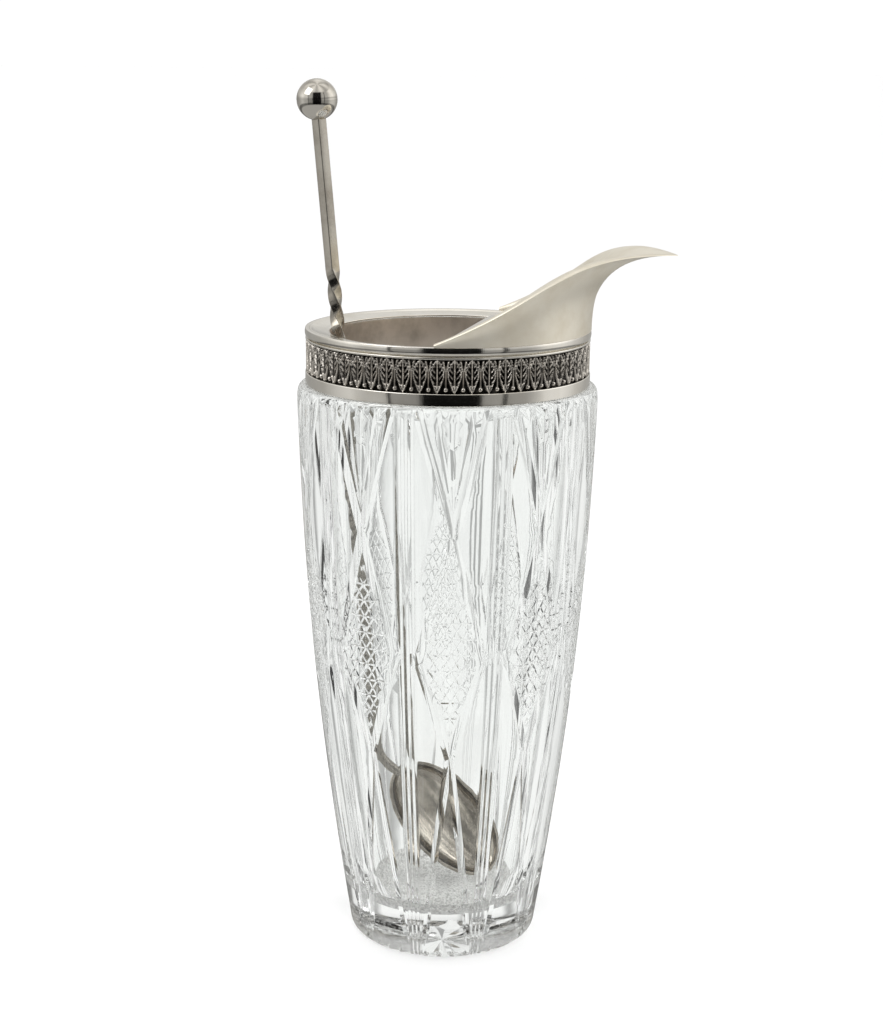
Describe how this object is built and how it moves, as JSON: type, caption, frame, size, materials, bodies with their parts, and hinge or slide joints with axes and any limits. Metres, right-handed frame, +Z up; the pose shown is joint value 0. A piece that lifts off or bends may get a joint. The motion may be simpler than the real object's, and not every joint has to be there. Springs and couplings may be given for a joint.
{
  "type": "mixing glass",
  "caption": "Tall cut-crystal cocktail mixing glass with a silver collar, a broad pouring lip, an ice guard and a loose twisted stirrer with a ball finial.",
  "frame": {"origin": "centre of the base, on the surface it stands on", "axes": "+Z up along the axis of the glass, +X towards the pouring lip"},
  "size_m": [0.1194, 0.0958, 0.2772],
  "materials": {
    "cut_crystal": "polished cut lead crystal",
    "cement": "white setting plaster",
    "polished_silver": "polished silver with fine wear",
    "satin_silver": "satin silver with light tarnish",
    "oxidised_silver": "chased silver with dark recesses"
  },
  "bodies": {
    "vessel": {"glass_body": "cut_crystal", "mounting_cement": "cement", "collar_sleeve": "satin_silver", "lower_band": "polished_silver", "frieze_strip": "oxidised_silver", "fillet_wire": "polished_silver", "upper_band": "polished_silver", "rim_ledge": "polished_silver", "mouth_liner": "satin_silver", "pouring_lip": "satin_silver", "ice_guard": "polished_silver"},
    "stirrer": {"finial_ball": "polished_silver", "stirrer_bar": "satin_silver", "spoon_bowl": "polished_silver"}
  },
  "joints": [
    {"name": "stirrer_lift", "type": "slide", "parent": "vessel", "child": "stirrer", "axis": [-0.0846, -0.0211, 0.9962], "range_m": [0, 0.19]}
  ]
}
